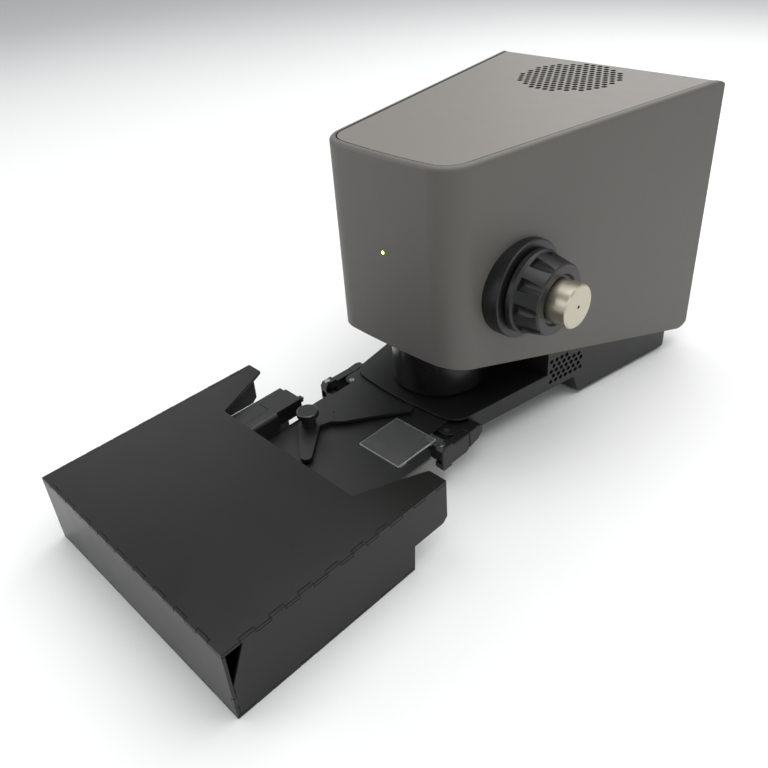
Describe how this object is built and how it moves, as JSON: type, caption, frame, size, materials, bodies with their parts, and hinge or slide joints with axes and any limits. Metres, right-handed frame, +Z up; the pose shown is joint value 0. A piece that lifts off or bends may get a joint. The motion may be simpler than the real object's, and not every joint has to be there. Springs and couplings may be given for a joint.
{
  "type": "spectrophotometer",
  "caption": "Bench spectrophotometer with a grey wedge head, a raised measuring nose, side focus knobs and a black-covered sample stage.",
  "frame": {"origin": "centre of the bounding box, on the bench", "axes": "+Y from the covered stage towards the back of the head, +X towards the side with the knobs, +Z up"},
  "size_m": [0.2806, 0.642, 0.2955],
  "materials": {
    "head_grey": "fine textured powder coat, warm mid grey",
    "plate_grey": "fine textured powder coat, warm light grey",
    "black_satin": "satin black powder coat",
    "gloss_black": "polished black acrylic sheet",
    "nose_black": "gloss black anodised tube",
    "knob_black": "moulded, lightly textured",
    "satin_metal": "turned and bead blasted, pale champagne",
    "bare_steel": "ground",
    "motor_body": "satin black",
    "alloy": "machined",
    "sphere_white": "sintered white diffuse reflector",
    "clear_plate": "clear acrylic, polished",
    "light_green": "lit indicator lens",
    "circuit_green": "solder mask",
    "module_grey": "cast and machined",
    "foot_rubber": "matte"
  },
  "bodies": {
    "root": {"base_housing": "black_satin", "board_posts": "alloy", "chassis_plate": "black_satin", "deck_plate": "black_satin", "fan_frame": "knob_black", "front_lip": "black_satin", "head_floor": "head_grey", "head_shell": "head_grey", "knob_collar": "black_satin", "latch_anchors": "black_satin", "latch_pins": "bare_steel", "lip_screws": "bare_steel", "main_board": "circuit_green", "power_inlet": "knob_black", "power_supply": "module_grey", "rear_panel": "black_satin", "rubber_feet": "foot_rubber", "shaft_bush": "bare_steel", "slide_rail": "bare_steel", "source_module": "module_grey", "spectrometer": "module_grey", "stage_frame": "black_satin", "stage_rails": "bare_steel", "status_light": "light_green", "switch_body": "knob_black", "top_plate": "plate_grey", "usb_port": "bare_steel", "y_gearbox": "knob_black", "y_motor": "motor_body"},
    "lift": {"lift_carriage": "alloy", "rack": "bare_steel", "sphere_bracket": "alloy", "nose_shroud": "nose_black", "port_tube": "alloy", "sphere_lower": "sphere_white", "sphere_upper": "sphere_white", "lamp_housing": "alloy"},
    "coarse": {"coarse_knob": "knob_black", "pinion_shaft": "bare_steel"},
    "fine": {"fine_knob": "satin_metal", "fine_shaft": "bare_steel"},
    "fan": {"fan_rotor": "knob_black"},
    "rocker": {"switch_rocker": "knob_black"},
    "saddle": {"saddle": "black_satin", "x_motor": "motor_body"},
    "lead_screw": {"y_screw": "bare_steel"},
    "cross_screw": {"x_screw": "bare_steel"},
    "table": {"table_carriage": "black_satin", "stage_table": "black_satin", "sample_stops": "bare_steel"},
    "arm": {"swing_arm": "black_satin"},
    "thumb": {"thumb_knob": "knob_black"},
    "sample": {"sample_plate": "clear_plate"},
    "catch_right": {"latch_right": "black_satin"},
    "catch_left": {"latch_left": "black_satin"},
    "cover": {"cover_top": "gloss_black", "cover_front": "gloss_black", "cover_left": "gloss_black", "cover_right": "gloss_black", "cover_floor": "gloss_black"}
  },
  "joints": [
    {"name": "nose_lift", "type": "slide", "parent": "root", "child": "lift", "axis": [0, 0, 1], "range_m": [0, 0.024]},
    {"name": "coarse_turn", "type": "hinge", "parent": "root", "child": "coarse", "pos_m": [0.10265, 0.059, 0.168], "axis": [1, 0, 0], "range_deg": [-1, 154]},
    {"name": "fine_turn", "type": "hinge", "parent": "root", "child": "fine", "pos_m": [0.13265, 0.059, 0.168], "axis": [1, 0, 0], "continuous": true},
    {"name": "fan_spin", "type": "hinge", "parent": "root", "child": "fan", "pos_m": [-0.00735, 0.252, 0.27], "axis": [0, 0, 1], "continuous": true},
    {"name": "rocker_tip", "type": "hinge", "parent": "root", "child": "rocker", "pos_m": [-0.00235, 0.316, 0.121], "axis": [1, 0, 0], "range_deg": [-14, 0]},
    {"name": "stage_travel", "type": "slide", "parent": "root", "child": "saddle", "axis": [0, 1, 0], "range_m": [-0.108, 0]},
    {"name": "lead_turn", "type": "hinge", "parent": "root", "child": "lead_screw", "pos_m": [-0.06635, -0.225, 0.054], "axis": [0, 1, 0], "range_deg": [-1945, 1]},
    {"name": "cross_travel", "type": "slide", "parent": "saddle", "child": "table", "axis": [1, 0, 0], "range_m": [-0.006, 0.003]},
    {"name": "cross_turn", "type": "hinge", "parent": "saddle", "child": "cross_screw", "pos_m": [-0.00735, -0.161, 0.035], "axis": [1, 0, 0], "range_deg": [-290, 110]},
    {"name": "arm_swing", "type": "hinge", "parent": "table", "child": "arm", "pos_m": [-0.04035, -0.105, 0.0485], "axis": [0, 0, 1], "range_deg": [-40, 12]},
    {"name": "thumb_turn", "type": "hinge", "parent": "table", "child": "thumb", "pos_m": [-0.04035, -0.105, 0.058], "axis": [0, 0, 1], "range_deg": [0, 360]},
    {"name": "sample_lift", "type": "slide", "parent": "table", "child": "sample", "axis": [0, 0, 1], "range_m": [0, 0.012]},
    {"name": "catch_right_swing", "type": "hinge", "parent": "root", "child": "catch_right", "pos_m": [0.07125, -0.0415, 0.03], "axis": [0, 0, 1], "range_deg": [-70, 0]},
    {"name": "catch_left_swing", "type": "hinge", "parent": "root", "child": "catch_left", "pos_m": [-0.08595, -0.0415, 0.03], "axis": [0, 0, 1], "range_deg": [0, 70]},
    {"name": "cover_pull", "type": "slide", "parent": "root", "child": "cover", "axis": [0, -1, 0], "range_m": [0, 0.24]}
  ],
  "couplings": [
    {"joint": "coarse_turn", "follows": "nose_lift", "rad_per_m": 111.11},
    {"joint": "lead_turn", "follows": "stage_travel", "rad_per_m": 314.16},
    {"joint": "cross_turn", "follows": "cross_travel", "rad_per_m": 628.32}
  ]
}
